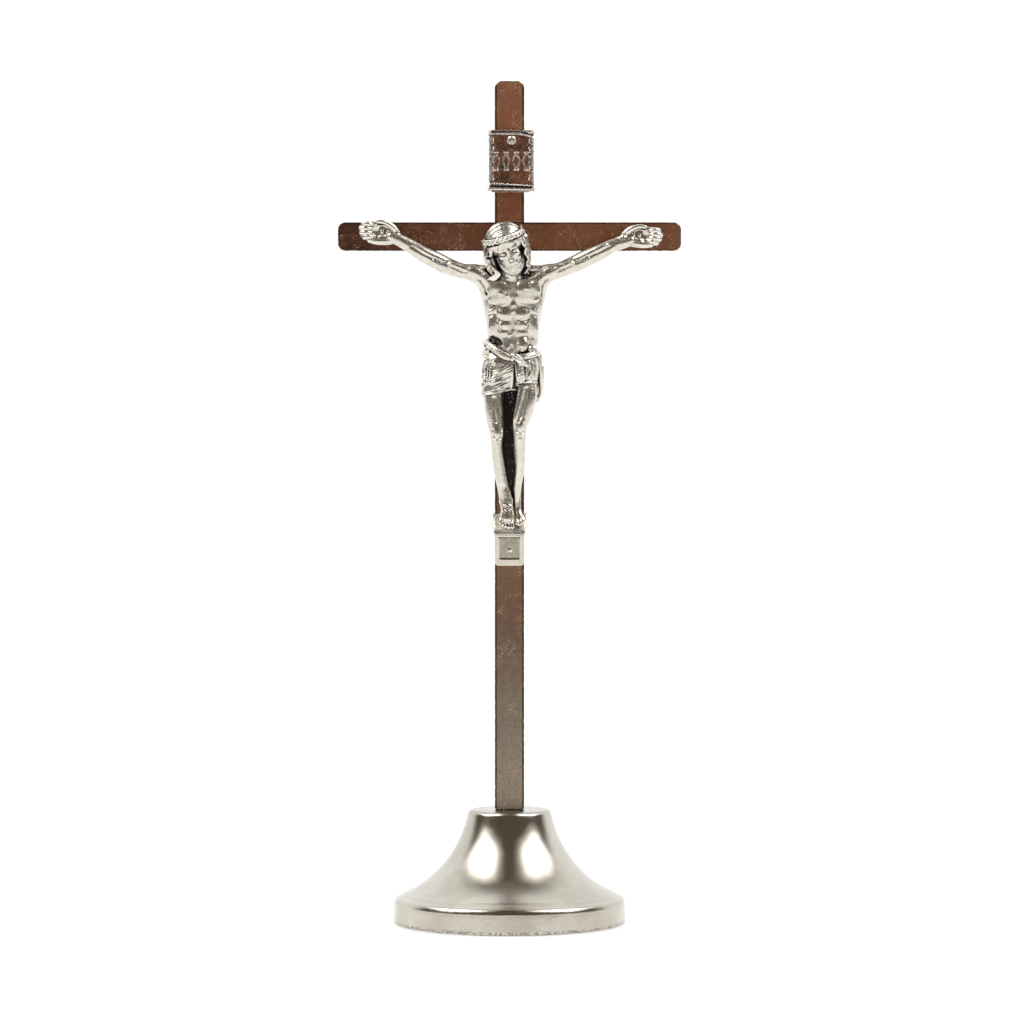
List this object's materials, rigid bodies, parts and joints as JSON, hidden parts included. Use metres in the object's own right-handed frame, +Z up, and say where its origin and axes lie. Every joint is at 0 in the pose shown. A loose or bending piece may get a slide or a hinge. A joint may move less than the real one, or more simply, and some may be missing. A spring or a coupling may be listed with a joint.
{
  "type": "altar cross",
  "caption": "Small standing crucifix: flat-bar cross with a cast silver figure, an inscription plate and a footrest, on a flared round metal base.",
  "frame": {"origin": "centre of the base's underside", "axes": "+Z up along the upright; the figure faces -Y; +X to the right for someone who looks at the figure"},
  "size_m": [0.065, 0.044, 0.16],
  "materials": {
    "cross_bars": "polished nickel plate with a warm brown cast, softened edges, fine pits and scratches",
    "titulus_plate": "polished brown-toned plate with bright worn edges",
    "antique_silver": "antique silver, satin on the high places and blackened in the recesses",
    "footrest_silver": "satin silver",
    "pins": "worn silver",
    "base_nickel": "polished nickel, slightly warm, with light polishing marks",
    "ballast_iron": "rough casting",
    "hardware": "bright zinc plate",
    "felt": "dark green felt"
  },
  "bodies": {
    "root": {"upright": "cross_bars", "crossbar": "cross_bars", "crossing_rivet": "cross_bars", "titulus": "titulus_plate", "titulus_rivet": "pins", "corpus": "antique_silver", "left_hand_nail": "pins", "right_hand_nail": "pins", "foot_nail": "pins", "footrest": "footrest_silver", "footrest_rivet": "pins", "base_shell": "base_nickel", "base_ballast": "ballast_iron", "base_washer": "hardware", "base_lock_washer": "hardware", "base_nut": "hardware", "base_pad": "felt"}
  },
  "joints": []
}
